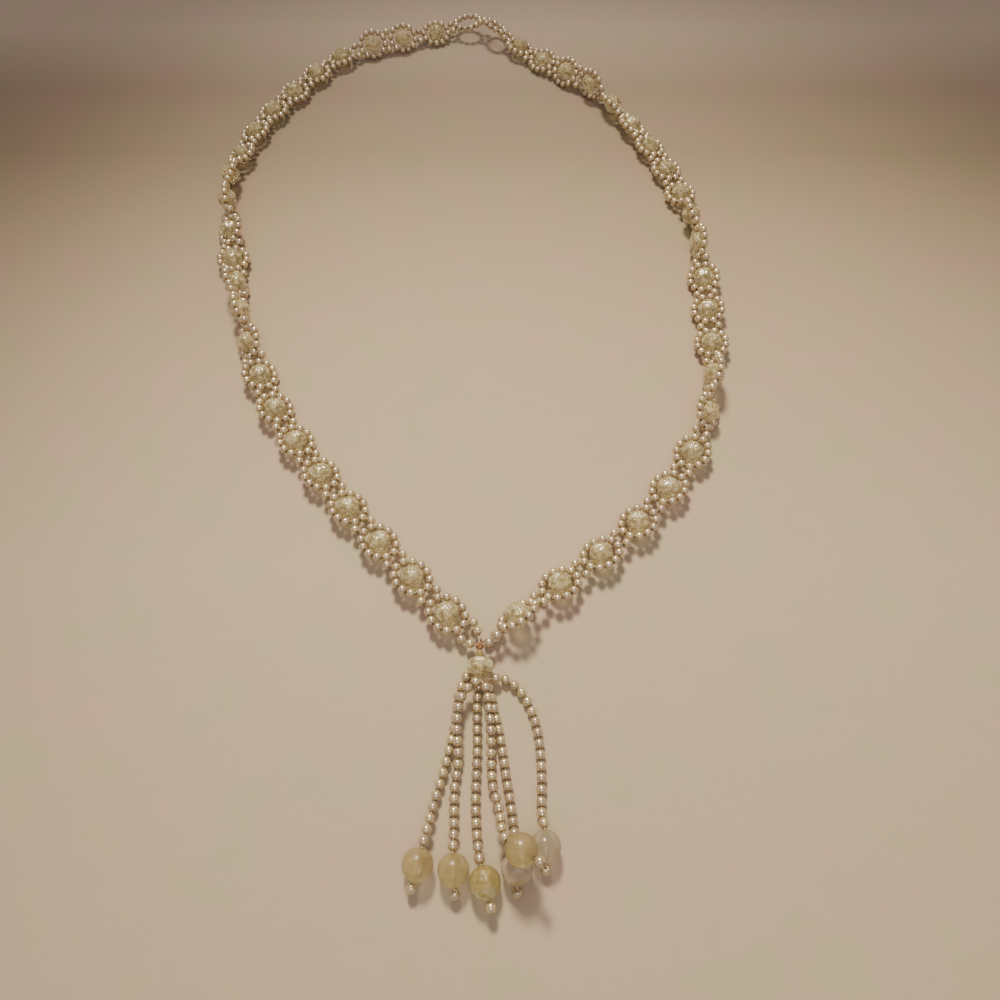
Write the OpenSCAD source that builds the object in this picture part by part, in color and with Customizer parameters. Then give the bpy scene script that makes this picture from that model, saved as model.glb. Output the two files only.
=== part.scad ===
// Tassel necklace, lying flat: a band of pearl daisies round cut crystals, closed in a loop,
// and a tassel of six pearl strands that each end in a drop bead and one more pearl.
// Millimetres. +Z is up from the surface, +Y runs from the tassel to the back of the loop.

/* [Beads] */
// Diameter of the round pearls
pearl_d = 3; // [2.9:0.05:3.05]
// Width of a cut crystal across its flats
crystal_w = 7.2; // [6.8:0.1:7.3]
// Width of the bead at the head of the tassel
head_w = 7.8; // [7:0.1:8]
// Length of that bead along its bore
head_long = 5.4; // [5:0.1:5.8]
// Diameter of the drop beads
drop_d = 8.6; // [8:0.1:8.6]
// Clearance between neighbouring beads on a strand
bead_gap = 0.14; // [0.12:0.01:0.15]

/* [Drilling and thread] */
// Bore through pearls, drops and crystals
bore_d = 1.1; // [1:0.05:1.2]
// Thickness of one thread
thread_d = 0.5; // [0.4:0.05:0.5]
// Bore through the bead at the head of the tassel
head_bore_d = 1.7; // [1.6:0.05:1.9]
// Thickness of the bundle of threads inside that bead
stem_d = 1.1; // [1:0.05:1.2]

/* [Band] */
// Thickness of a beaded ring at its pearls
ring_wire_d = 2.86; // [2.6:0.02:2.9]
// Thickness of the pearls that link two rings
link_wire_d = 2.7; // [2.4:0.1:2.8]
// Thickness between a ring's last pearl and the link pearl
waist_d = 2.3; // [2:0.1:2.4]
// Diameter of the thread knot at the foot of the loop
knot_d = 2.8; // [2.4:0.1:3]
// Diameter of the thread wound round the stem below the knot
whip_d = 2.4; // [2:0.1:2.6]

/* [Hidden] */

// Daisy layout. Twelve pearls touch in an oval ring that is pulled longer along the band, and
// two more pearls link it to the next ring, so that each link is a hexagon of six pearls round
// a small hole. The turns are the slopes of the two chords from the side pair to the end pair.
ring_pearls = 12;
side_turn = 24;
end_turn = 54;
end_x = pearl_d * (0.5 + cos(side_turn) + cos(end_turn));
end_y = pearl_d / 2;
side_y = pearl_d * (0.5 + sin(side_turn) + sin(end_turn));
ring_quarter = [
  [end_x, end_y],
  [end_x - pearl_d * cos(end_turn), end_y + pearl_d * sin(end_turn)],
  [pearl_d / 2, side_y]
];
edge_sides = 6;
stem_sides = 5;
thread_sides = 5;

rings = 48;
left_rings = 25;
crystal_facets = 8;

// Route of the band's centre line, clockwise from the foot of the loop. Columns: x, y.
route = [
  [2, -118.5], [-21.5, -93.5], [-44, -67], [-63, -40], [-76.5, -11], [-85, 15.5],
  [-93.5, 48], [-98.5, 81], [-93, 113.5], [-80, 139.5], [-60, 168.5], [-29.5, 182],
  [-16, 188], [8.5, 195.5], [16, 188.5], [29.5, 176], [50, 154.5], [70.5, 132], [86, 102],
  [96, 72],
  [99.5, 38], [99.5, 7], [96.5, -28], [86, -58.5], [64, -87], [37, -109], [24, -119.5]
];

// Places of the rings along the route, which crowd a little where the band is twisted.
// Columns: ring number, distance from the first ring.
stations = [
  [1, 0], [8, 118], [12, 180], [19, 293.5], [22, 344], [23, 359.5], [24, 377], [25, 394],
  [26, 411.5], [27, 428], [31, 491], [37, 588], [42, 671.5], [48, 775.5]
];

// Twist of the band about its own line. Columns: ring number, lean in degrees, where 0 lies
// flat, 90 stands on edge and 180 is turned right over.
lean_rows = [
  [1, 10], [8, 15], [9, -45], [10, -100], [11, -120], [12, -175], [13, -215], [14, -265],
  [15, -240], [16, -200], [19, -175], [21, -185], [22, -130], [23, -130], [24, -156],
  [25, -181], [26, -209], [27, -191], [28, -160], [29, -130], [30, -100], [31, -40],
  [33, -10], [35, 5], [36, -70], [37, -100], [38, -165], [40, -170], [41, -105],
  [42, -50], [43, 10], [47, 20], [48, 50]
];

// Sharp bend at the back join. Columns: ring number, turn in plan away from the line between
// its neighbours in degrees, lift off the surface.
bends = [[24, 0, 0], [25, 3, 2.5], [26, -17, 3.4], [27, 0, 0]];

// Foot of the loop. Two pearls a side lead from each end ring to the knot.
// Columns: x, y, z. Rows: the pearl next to the ring, then the one next to the knot.
knot_at = [12.3, -128.8, 3.8];
arm_left_inner = [[10.3, -121.1, 3.2], [11.6, -124, 3.6]];
arm_left_outer = [[6.6, -126.5, 3.2], [9.3, -128, 3.5]];
arm_right_outer = [[17.6, -126.2, 6.2], [15.2, -128.2, 5.4]];
arm_right_inner = [[16.9, -125, 3.4], [14.9, -127, 1.9]];

// Tassel head
head_at = [12.5, -135, 4];
fan_at = [12.6, -139, 4];

// Strands of the tassel, from the head bead down. Columns: x, y, z of the thread.
// The last two rows are the centre of the drop bead and a point beyond its end pearl, as high
// as that pearl's centre.
strand_rows_a = [
  [9, -137.2, 2.3], [6.3, -142.2, 1.6], [5.5, -149.5, 1.6], [4.3, -156.5, 1.6],
  [2.6, -164, 1.8], [-0.2, -174.3, 2.2], [-3.5, -188.8, 4.4], [-4.9, -194.2, 3]
];
strand_rows_b = [
  [10.6, -140.5, 5.1], [8.6, -142.4, 5.4], [7, -145.1, 5.1], [6.2, -149, 4.9],
  [6.1, -154, 4.7], [6.5, -159.5, 3.2], [6.3, -164, 1.7], [5.6, -171, 1.6],
  [5.8, -180, 1.9], [6.1, -190.1, 4.4], [6.5, -195.5, 2.8]
];
strand_rows_c = [
  [12.3, -140.2, 2.2], [11.9, -142, 1.6], [11.7, -147.3, 1.6], [11.9, -159.8, 1.6],
  [11.6, -172, 1.6], [12.1, -181, 1.8], [14.5, -193.1, 4.4], [16.1, -198.8, 4.4]
];
strand_rows_d = [
  [13.7, -140.2, 4.5], [14.6, -142.6, 4.8], [15.2, -147, 4.8], [15.8, -152.5, 4.6],
  [15.9, -158, 3], [16, -163, 1.7], [16.5, -169.2, 2.3], [18.2, -174.5, 4.2],
  [19, -180.5, 7.9], [24, -185.7, 12.1], [28.6, -188.5, 14.7]
];
strand_rows_e = [
  [15.3, -141.2, 1.7], [16.8, -147.5, 1.6], [18.2, -153.6, 1.6], [19.3, -160, 1.6],
  [20.2, -166, 1.6], [21.2, -172, 1.7], [22, -177.8, 1.7],
  [23, -189.8, 4.4], [23.1, -196, 2.4]
];
strand_rows_f = [
  [16.9, -138.6, 3.2], [19.8, -138.5, 1.9], [22.6, -140, 1.6], [26.1, -144, 1.6],
  [28.6, -150, 1.6], [29.9, -157, 1.6], [30.3, -167, 1.6], [30, -174.5, 1.8],
  [30.7, -184.4, 4.4], [30.7, -190, 2.4]
];
// Columns: rows of the strand, number of pearls above the drop bead, rise of that bead's bore
// towards the end pearl in degrees.
STRANDS = [
  [strand_rows_a, 16, -10], [strand_rows_b, 16, 0], [strand_rows_c, 16, 0],
  [strand_rows_d, 15, 24], [strand_rows_e, 15, 0], [strand_rows_f, 16, 0]
];

// Steps and clearances
spline_steps = 12;
seat_gap = 0.2;
slope_lift = 0.12;
thread_clearance = 0.12;
thread_spread = 0.8;

function unit(v) = v / norm(v);
function flat(p, z) = [p[0], p[1], z];

// Point of the smooth curve through p, a share f of the way from p[i] to p[i + 1].
function curve_point(p, i, f) =
  let (
    a = i > 0 ? p[i - 1] : 2 * p[0] - p[1],
    b = p[i],
    c = p[i + 1],
    d = i + 2 < len(p) ? p[i + 2] : 2 * c - b
  )
  b + 0.5 * f * (c - a + f * (2 * a - 5 * b + 4 * c - d + f * (3 * (b - c) + d - a)));

// The curve as a dense polyline, over the first n spans of p.
function curve(p, n) =
  concat([for (i = [0 : n - 1]) for (k = [0 : spline_steps - 1]) curve_point(p, i, k / spline_steps)],
         [p[n]]);

// Running length at each point of a polyline.
function running(p) =
  [for (i = 0, s = 0; i < len(p); s = s + (i + 1 < len(p) ? norm(p[i + 1] - p[i]) : 0), i = i + 1) s];

// Point at length s of polyline p, whose running lengths are r.
function at_length(p, r, s) =
  [for (axis = [0 : len(p[0]) - 1]) lookup(s, [for (i = [0 : len(p) - 1]) [r[i], p[i][axis]]])];

// Ring centres. Each lies as low as its lean lets it: a flat ring hangs on its crystal,
// a tilted one stands on its lower edge.
route_line = curve(route, len(route) - 1);
route_run = running(route_line);
route_length = route_run[len(route_run) - 1];
function lean(k) = lookup(k, lean_rows);
function crystal_reach(a) =
  crystal_w / 2 / cos(180 / crystal_facets) * cos(abs(a) % 45 - 180 / crystal_facets);
function rest_height(a) =
  max(crystal_reach(a), side_y * abs(sin(a)) + pearl_d / 2 + slope_lift);
function station(k) = lookup(k, stations) * route_length / stations[len(stations) - 1][1];
function bend(k, column) = lookup(k, [for (b = bends) [b[0], b[column]]]);
centres = [
  for (k = [1 : rings])
    flat(at_length(route_line, route_run, station(k)), rest_height(lean(k)) + bend(k, 2))
];

// Frame of ring k: along the band, across it towards its outer edge, out of its face, centre.
function centre_of(k) = k < 1 || k > rings ? knot_at : centres[k - 1];
function turned(v, a) = [v[0] * cos(a) - v[1] * sin(a), v[0] * sin(a) + v[1] * cos(a), v[2]];
function along(k) = turned(unit(centre_of(k + 1) - centre_of(k - 1)), bend(k, 1));
function level_side(k) = unit(cross([0, 0, 1], along(k)));
function side(k) =
  level_side(k) * cos(lean(k)) + cross(along(k), level_side(k)) * sin(lean(k));
function face(k) = cross(along(k), side(k));
function in_ring(k, x, y, z) = centres[k - 1] + along(k) * x + side(k) * y + face(k) * z;
function frame(u, v, w, p) =
  [[u[0], v[0], w[0], p[0]], [u[1], v[1], w[1], p[1]], [u[2], v[2], w[2], p[2]]];

// Centre of the pearl that links ring k to ring k + 1 on side s, which is 1 or -1.
// It keeps a pearl's width from the two rings' end pearls.
function link_at(k, s) =
  let (
    a = in_ring(k, end_x, s * end_y, 0),
    b = in_ring(k + 1, -end_x, s * end_y, 0),
    gap = b - a,
    out = s * (side(k) + side(k + 1)),
    square_out = unit(out - gap * (out * gap) / (gap * gap))
  )
  (a + b) / 2 + square_out * sqrt(max(pearl_d * pearl_d - gap * gap / 4, 0.5));

// Regular cross section of a tube at point i of its path.
function section(path, i, r, sides) =
  let (
    d = unit(path[min(i + 1, len(path) - 1)] - path[max(i - 1, 0)]),
    u = unit(cross(abs(d[2]) < 0.9 ? [0, 0, 1] : [1, 0, 0], d)),
    v = cross(d, u)
  )
  [for (j = [0 : sides - 1]) path[i] + r * (u * cos(j * 360 / sides) + v * sin(j * 360 / sides))];

// Tube along a path, one hull for each stretch, so that a node full of them is one clean mesh.
module tube(path, r, sides) {
  for (i = [0 : len(path) - 2])
    hull()
      polyhedron(
        points = concat(section(path, i, r, sides), section(path, i + 1, r, sides)),
        faces = concat(
          [[for (j = [sides - 1 : -1 : 0]) j], [for (j = [0 : sides - 1]) sides + j]],
          [for (j = [0 : sides - 1])
            [j, (j + 1) % sides, sides + (j + 1) % sides, sides + j]]
        )
      );
}

// Pearl i of a ring in the ring's own plane, counted round from the end pair.
function ring_pearl(i) =
  let (
    n = (i + ring_pearls) % ring_pearls,
    quarter = floor(n / 3),
    p = ring_quarter[quarter % 2 == 0 ? n % 3 : 2 - n % 3]
  )
  [(quarter == 1 || quarter == 2 ? -1 : 1) * p[0], (quarter > 1 ? -1 : 1) * p[1]];

// One edge of the band, as rows of place, radius and the face that the place lies in. In each
// ring it passes the six pearls of side s, and from ring to ring the link pearl, with a waist
// on each side of it.
function edge_rows(first, last, s) = [
  for (k = [first : last])
    each concat(
      [for (i = [ring_pearls / 2 - 1 : -1 : 0]) ring_row(k, i, s)],
      k < last ? link_rows(k, s) : []
    )
];
function ring_row(k, i, s) =
  [in_ring(k, ring_pearl(i)[0], s * ring_pearl(i)[1], 0), ring_wire_d / 2, face(k)];
function link_rows(k, s) =
  let (
    a = in_ring(k, end_x, s * end_y, 0),
    m = link_at(k, s),
    b = in_ring(k + 1, -end_x, s * end_y, 0),
    f = unit(face(k) + face(k + 1))
  )
  [[(a + m) / 2, waist_d / 2, f], [m, link_wire_d / 2, f], [(m + b) / 2, waist_d / 2, f]];

// Beaded arm from the knot to the pearl beside an end ring: bare thread, then two pearls.
function arm_rows(pearls, f) =
  let (
    bare = unit(knot_at - pearls[1]),
    mouth = pearls[1] + bare * pearl_d / 2
  )
  [
    [knot_at - bare * (knot_d / 2 + seat_gap), thread_d / 2, f],
    [mouth + bare * seat_gap, thread_d / 2, f],
    [mouth, link_wire_d / 2, f],
    [pearls[1], link_wire_d / 2, f],
    [pearls[0], link_wire_d / 2, f]
  ];
function backwards(rows) = [for (i = [len(rows) - 1 : -1 : 0]) rows[i]];

// Tube through rows of place, radius and face, in one closed mesh of triangles.
module edge_tube(rows) {
  last = len(rows) - 1;
  corners = [
    for (i = [0 : last])
      let (
        d = unit(rows[min(i + 1, last)][0] - rows[max(i - 1, 0)][0]),
        f = rows[i][2],
        u = unit(f - d * (f * d)),
        v = cross(d, u)
      )
      for (j = [0 : edge_sides - 1])
        let (b = j * 360 / edge_sides)
        rows[i][0] + rows[i][1] * (u * cos(b) + v * sin(b))
  ];
  polyhedron(
    points = corners,
    faces = concat(
      [[for (j = [edge_sides - 1 : -1 : 0]) j], [for (j = [0 : edge_sides - 1]) last * edge_sides + j]],
      [
        for (i = [0 : last - 1])
          for (j = [0 : edge_sides - 1])
            let (
              here = i * edge_sides,
              next = here + edge_sides,
              up = (j + 1) % edge_sides
            )
            each [[here + j, here + up, next + up], [here + j, next + up, next + j]]
      ]
    )
  );
}

// Last rows of the left half: its end link, cut just short of the right half's first ring.
function tail_rows(s) =
  let (
    rows = link_rows(left_rings, s),
    middle = rows[1][0],
    ahead = unit(rows[2][0] - middle)
  )
  [rows[0], rows[1], [middle + ahead * (pearl_d - ring_wire_d / 2 - seat_gap), waist_d / 2, rows[2][2]]];

module edge_left(arm, s) {
  color("wheat")
    edge_tube(concat(arm_rows(arm, face(1)), edge_rows(1, left_rings, s), tail_rows(s)));
}

module edge_right(arm, s) {
  color("burlywood")
    edge_tube(concat(
      edge_rows(left_rings + 1, rings, s), backwards(arm_rows(arm, face(rings)))
    ));
}

module band_left_outer() {
  edge_left(arm_left_outer, 1);
}

module band_left_inner() {
  edge_left(arm_left_inner, -1);
}

module band_right_outer() {
  edge_right(arm_right_outer, 1);
}

module band_right_inner() {
  edge_right(arm_right_inner, -1);
}

// The two rings at the back join hold no crystal.
function has_crystal(k) = k != left_rings && k != left_rings + 1;

// Outline of a cut bead seen from the side: a rectangle whose corners are cut off at the
// points where a regular octagon's would be. A section is extruded through the whole bead.
module cut_outline(long, wide) {
  cut = tan(180 / crystal_facets);
  polygon([
    [long, wide * cut], [long * cut, wide], [-long * cut, wide], [-long, wide * cut],
    [-long, -wide * cut], [-long * cut, -wide], [long * cut, -wide], [long, -wide * cut]
  ] / 2);
}

// Bead cut with a table at each end, four crown facets next to each and eight round its belt.
// Its bore runs along X.
module cut_bead(long, wide, bore) {
  through = long + wide;
  difference() {
    intersection() {
      linear_extrude(through, center = true)
        cut_outline(long, wide);
      rotate([90, 0, 0])
        linear_extrude(through, center = true)
          cut_outline(long, wide);
      rotate([0, 90, 0])
        linear_extrude(through, center = true)
          cut_outline(wide, wide);
    }
    rotate([0, 90, 0])
      cylinder(d = bore, h = through, center = true, $fn = 32);
  }
}

module crystals(first, last) {
  for (k = [first : last])
    if (has_crystal(k))
      multmatrix(frame(along(k), side(k), face(k), centres[k - 1]))
        cut_bead(crystal_w, crystal_w, bore_d);
}

// Threads that carry the crystals, one across each ring from end pair to end pair.
module crystal_threads(first, last) {
  half = end_x - ring_wire_d / 2 - seat_gap;
  for (k = [first : last])
    if (has_crystal(k))
      multmatrix(frame(along(k), side(k), face(k), centres[k - 1]))
        rotate([0, 90, 0])
          cylinder(d = thread_d, h = 2 * half, center = true, $fn = 16);
}

module crystals_left() {
  color("lightcyan") crystals(1, left_rings);
}

module crystals_right() {
  color("lightblue") crystals(left_rings + 1, rings);
}

module threads_left() {
  color("peru") crystal_threads(1, left_rings);
}

module threads_right() {
  color("peru") crystal_threads(left_rings + 1, rings);
}

// Bare doubled thread that closes the loop across the open ring at the back.
module closing_thread() {
  k = left_rings + 1;
  lift = ring_wire_d / 2 + thread_d;
  reach = end_x + pearl_d / 2;
  color("peru")
    for (s = [-1, 1]) {
      tube(
        [
          in_ring(k, -reach, s * thread_spread / 2, lift),
          in_ring(k, -end_x / 3, s * thread_spread, lift),
          in_ring(k, end_x / 2, s * thread_spread, lift),
          in_ring(k, reach, s * thread_spread / 2, lift)
        ],
        thread_d / 2, thread_sides
      );
      tube(
        [
          in_ring(k, s * (reach - thread_d), -thread_spread, lift - thread_d / 3),
          in_ring(k, s * (reach - thread_d), thread_spread, lift - thread_d / 3)
        ],
        thread_d / 2, thread_sides
      );
    }
}

// Threads leave the knot and run through the head bead in one line.
stem_dir = unit(head_at - knot_at);
stem_side = unit(cross([0, 0, 1], stem_dir));
whip_start = knot_d / 2 + seat_gap;
whip_end = norm(head_at - knot_at) - head_long / 2 - seat_gap;

// Knot: a ball with a turn of thread laid round it, and a sleeve of thread wound round the stem.
module knot() {
  turn_r = knot_d / 6;
  bore_r = stem_d / 2 + thread_clearance;
  color("sienna") {
    translate(knot_at) {
      sphere(r = knot_d / 2 - turn_r, $fn = 48);
      rotate([35, 90, 0])
        rotate_extrude($fn = 48)
          translate([knot_d / 2 - turn_r, 0])
            circle(r = turn_r, $fn = 24);
    }
    multmatrix(frame(stem_side, cross(stem_dir, stem_side), stem_dir, knot_at))
      rotate_extrude($fn = 48)
        translate([bore_r, whip_start])
          square([whip_d / 2 - bore_r, whip_end - whip_start]);
  }
}

module head_bead() {
  color("lightcyan")
    multmatrix(frame(stem_dir, stem_side, cross(stem_dir, stem_side), head_at))
      cut_bead(head_long, head_w, head_bore_d);
}

// A strand's thread: smooth down to the drop bead's hole, then straight through it, and on to
// the end pearl, which may hang lower than the bore.
function last_of(s) = s[0][len(s[0]) - 1];
function drop_of(s) = s[0][len(s[0]) - 2];
function heading(s) = unit(flat(last_of(s) - drop_of(s), 0));
function axis_of(s) = flat(heading(s) * cos(s[2]), sin(s[2]));
drop_seat = drop_d / 2 + seat_gap;
function entry_of(s) = drop_of(s) - axis_of(s) * drop_seat;
function exit_of(s) = drop_of(s) + axis_of(s) * (drop_seat + thread_d / 2);
function end_pearl(s) =
  let (reach = drop_seat + pearl_d / 2, rise = last_of(s)[2] - drop_of(s)[2])
  drop_of(s) + flat(heading(s) * sqrt(reach * reach - rise * rise), rise);
function hung(s) =
  concat([fan_at], [for (i = [0 : len(s[0]) - 3]) s[0][i]], [entry_of(s), drop_of(s)]);
function strand_line(s) = concat(curve(hung(s), len(hung(s)) - 2), [drop_of(s)]);

// Places of the pearls on a strand, counted back from the drop bead.
function pearl_lengths(line_run, n) =
  [for (i = [n - 1 : -1 : 0])
    line_run[len(line_run) - 1] - drop_seat - pearl_d / 2 - i * (pearl_d + bead_gap)];
function pearl_places(s) =
  let (line = strand_line(s), run = running(line))
  [for (d = pearl_lengths(run, s[1])) at_length(line, run, d)];

module drilled_ball(d, at, dir) {
  translate(at)
    rotate([0, acos(dir[2]), atan2(dir[1], dir[0])])
      difference() {
        sphere(d = d, $fn = 48);
        cylinder(d = bore_d, h = 2 * d, center = true, $fn = 24);
      }
}

module strand(index) {
  s = STRANDS[index];
  places = pearl_places(s);
  color("cornsilk") {
    for (i = [0 : len(places) - 1])
      drilled_ball(
        pearl_d,
        places[i],
        unit((i + 1 < len(places) ? places[i + 1] : entry_of(s)) - (i > 0 ? places[i - 1] : fan_at))
      );
    drilled_ball(pearl_d, end_pearl(s), unit(end_pearl(s) - exit_of(s)));
  }
}

module drop(index) {
  s = STRANDS[index];
  color("khaki") drilled_ball(drop_d, drop_of(s), axis_of(s));
}

// Threads of the six strands, fused to the stem that runs up through the head bead.
module tassel_threads() {
  color("peru") {
    tube(
      [knot_at + stem_dir * (knot_d / 2 + seat_gap), fan_at + stem_dir * stem_d / 2],
      stem_d / 2, stem_sides
    );
    for (s = STRANDS)
      tube(
        concat([fan_at], pearl_places(s), [entry_of(s), exit_of(s), end_pearl(s)]),
        thread_d / 2, thread_sides
      );
  }
}

band_left_outer();
band_left_inner();
band_right_outer();
band_right_inner();
crystals_left();
crystals_right();
threads_left();
threads_right();
closing_thread();
knot();
head_bead();
tassel_threads();
strand(0);  // strand_a
strand(1);  // strand_b
strand(2);  // strand_c
strand(3);  // strand_d
strand(4);  // strand_e
strand(5);  // strand_f
drop(0);  // drop_a
drop(1);  // drop_b
drop(2);  // drop_c
drop(3);  // drop_d
drop(4);  // drop_e
drop(5);  // drop_f
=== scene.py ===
"""Tassel necklace laid in a loop on a pale table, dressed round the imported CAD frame.

The layout below works in millimetres, as the CAD source does, and meshes are made in metres.
"""

import logging
import random
from dataclasses import dataclass, field
from enum import Enum
from math import asin, cos, pi, radians, sin, sqrt, tau
from typing import Iterable, Optional, Sequence

import bpy
from mathutils import Matrix, Vector


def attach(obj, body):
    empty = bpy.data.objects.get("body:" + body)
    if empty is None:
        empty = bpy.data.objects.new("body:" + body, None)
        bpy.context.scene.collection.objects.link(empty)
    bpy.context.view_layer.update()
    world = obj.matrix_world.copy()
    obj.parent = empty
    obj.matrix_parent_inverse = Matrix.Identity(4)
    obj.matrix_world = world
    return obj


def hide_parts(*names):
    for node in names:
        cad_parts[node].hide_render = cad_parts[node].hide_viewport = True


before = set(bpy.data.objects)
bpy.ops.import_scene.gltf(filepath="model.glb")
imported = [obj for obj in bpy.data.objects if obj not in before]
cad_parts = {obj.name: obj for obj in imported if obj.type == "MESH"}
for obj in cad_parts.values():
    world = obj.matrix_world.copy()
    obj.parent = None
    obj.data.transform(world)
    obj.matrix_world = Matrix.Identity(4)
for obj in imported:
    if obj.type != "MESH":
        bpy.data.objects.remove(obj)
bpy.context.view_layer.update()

LOG = logging.getLogger("necklace")
MM = 0.001
ROOT = "root"

UP = Vector((0, 0, 1))

Color = tuple[float, float, float]
Row = Sequence[float]
Item = bpy.types.Object
Material = bpy.types.Material
Node = bpy.types.Node
Socket = bpy.types.NodeSocket

# Where the knot, the head bead and the start of the strands lie.
KNOT_AT = Vector((12.3, -128.8, 3.8))
HEAD_AT = Vector((12.5, -135, 4))
FAN_AT = Vector((12.6, -139, 4))
# Columns: the half's name, its first and last rings.
HALVES = (("left", 1, 25), ("right", 26, 48))
# Columns: x, y.
ROUTE = (
    (2, -118.5), (-21.5, -93.5), (-44, -67), (-63, -40), (-76.5, -11), (-85, 15.5),
    (-93.5, 48), (-98.5, 81), (-93, 113.5), (-80, 139.5), (-60, 168.5), (-29.5, 182),
    (-16, 188), (8.5, 195.5), (16, 188.5), (29.5, 176), (50, 154.5), (70.5, 132),
    (86, 102), (96, 72), (99.5, 38), (99.5, 7), (96.5, -28), (86, -58.5), (64, -87),
    (37, -109), (24, -119.5),
)
# Columns: ring number, distance from the first ring.
STATIONS = (
    (1, 0), (8, 118), (12, 180), (19, 293.5), (22, 344), (23, 359.5), (24, 377),
    (25, 394), (26, 411.5), (27, 428), (31, 491), (37, 588), (42, 671.5), (48, 775.5),
)
# Columns: ring number, lean in degrees.
LEANS = (
    (1, 10), (8, 15), (9, -45), (10, -100), (11, -120), (12, -175), (13, -215),
    (14, -265), (15, -240), (16, -200), (19, -175), (21, -185), (22, -130),
    (23, -130), (24, -156), (25, -181), (26, -209), (27, -191), (28, -160), (29, -130),
    (30, -100), (31, -40), (33, -10), (35, 5), (36, -70), (37, -100), (38, -165),
    (40, -170), (41, -105), (42, -50), (43, 10), (47, 20), (48, 50),
)
# Sharp bend at the back join. Columns: ring number, turn in plan in degrees, lift.
BENDS = ((24, 0, 0), (25, 3, 2.5), (26, -17, 3.4), (27, 0, 0))
# Two pearls lead from each edge of each end ring to the knot. Columns: half, ring, its end and
# its edge as signs, the pearls as x, y, z.
ARMS = (
    ("left", 1, -1, -1, ((10.3, -121.1, 3.2), (11.6, -124, 3.6))),
    ("left", 1, -1, 1, ((6.6, -126.5, 3.2), (9.3, -128, 3.5))),
    ("right", 48, 1, 1, ((17.6, -126.2, 6.2), (15.2, -128.2, 5.4))),
    ("right", 48, 1, -1, ((16.9, -125, 3.4), (14.9, -127, 1.9))),
)
# Columns of each strand's rows: x, y, z. The last two are the drop bead and a point beyond
# its end pearl. Before them: the number of pearls, and the bore's rise in degrees.
STRANDS = {
    "a": (16, -10, ((9, -137.2, 2.3), (6.3, -142.2, 1.6), (5.5, -149.5, 1.6), (4.3, -156.5, 1.6),
        (2.6, -164, 1.8), (-0.2, -174.3, 2.2), (-3.5, -188.8, 4.4), (-4.9, -194.2, 3))),
    "b": (16, 0, ((10.6, -140.5, 5.1), (8.6, -142.4, 5.4), (7, -145.1, 5.1), (6.2, -149, 4.9),
        (6.1, -154, 4.7), (6.5, -159.5, 3.2), (6.3, -164, 1.7), (5.6, -171, 1.6), (5.8, -180, 1.9),
        (6.1, -190.1, 4.4), (6.5, -195.5, 2.8))),
    "c": (16, 0, ((12.3, -140.2, 2.2), (11.9, -142, 1.6), (11.7, -147.3, 1.6), (11.9, -159.8, 1.6),
        (11.6, -172, 1.6), (12.1, -181, 1.8), (14.5, -193.1, 4.4), (16.1, -198.8, 4.4))),
    "d": (15, 24, ((13.7, -140.2, 4.5), (14.6, -142.6, 4.8), (15.2, -147, 4.8),
        (15.8, -152.5, 4.6), (15.9, -158, 3), (16, -163, 1.7), (16.5, -169.2, 2.3),
        (18.2, -174.5, 4.2), (19, -180.5, 7.9), (24, -185.7, 12.1), (28.6, -188.5, 14.7))),
    "e": (15, 0, ((15.3, -141.2, 1.7), (16.8, -147.5, 1.6), (18.2, -153.6, 1.6), (19.3, -160, 1.6),
        (20.2, -166, 1.6), (21.2, -172, 1.7), (22, -177.8, 1.7), (23, -189.8, 4.4),
        (23.1, -196, 2.4))),
    "f": (16, 0, ((16.9, -138.6, 3.2), (19.8, -138.5, 1.9), (22.6, -140, 1.6), (26.1, -144, 1.6),
        (28.6, -150, 1.6), (29.9, -157, 1.6), (30.3, -167, 1.6), (30, -174.5, 1.8),
        (30.7, -184.4, 4.4), (30.7, -190, 2.4))),
}


class Curve:
    """A smooth curve through a few points, kept as a dense polyline with running lengths."""

    STEPS = 12

    def __init__(self, points: Sequence[Vector], spans: Optional[int] = None,
                 tail: Optional[Vector] = None) -> None:
        """Samples the curve.

        Args:
            points: The points that it passes through, two or three coordinates each.
            spans: How many stretches are used, all of them if None.
            tail: A last point that is joined on by a straight line.
        """
        count = len(points) - 1 if spans is None else spans
        line = [self._point(points, i, k / self.STEPS)
                for i in range(count) for k in range(self.STEPS)]
        line.append(points[count])
        if tail is not None:
            line.append(tail)
        self.line: list[Vector] = line
        self.run: list[float] = [0.0]
        for before, after in zip(line, line[1:]):
            self.run.append(self.run[-1] + (after - before).length)

    @staticmethod
    def _point(points: Sequence[Vector], i: int, share: float) -> Vector:
        """Returns the point a share of the way along stretch i."""
        b, c = points[i], points[i + 1]
        a = points[i - 1] if i > 0 else 2 * points[0] - points[1]
        d = points[i + 2] if i + 2 < len(points) else 2 * c - b
        cubic = 3 * (b - c) + d - a
        square = 2 * a - 5 * b + 4 * c - d
        return b + 0.5 * share * (c - a + share * (square + share * cubic))

    @property
    def length(self) -> float:
        """The whole length."""
        return self.run[-1]

    def at(self, distance: float) -> Vector:
        """Returns the point at a distance along the curve.

        Args:
            distance: The distance from the first point.
        """
        for i in range(1, len(self.run)):
            if self.run[i] >= distance:
                stretch = self.run[i] - self.run[i - 1]
                share = (distance - self.run[i - 1]) / stretch if stretch else 0.0
                return self.line[i - 1].lerp(self.line[i], share)
        return self.line[-1]


def looked_up(value: float, rows: Sequence[Row]) -> float:
    """Returns the straight-line value of a table of two columns.

    Args:
        value: The first column's value.
        rows: The table, in rising order of its first column.
    """
    if value <= rows[0][0]:
        return rows[0][1]
    for low, high in zip(rows, rows[1:]):
        if value <= high[0]:
            return low[1] + (high[1] - low[1]) * (value - low[0]) / (high[0] - low[0])
    return rows[-1][1]


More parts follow.
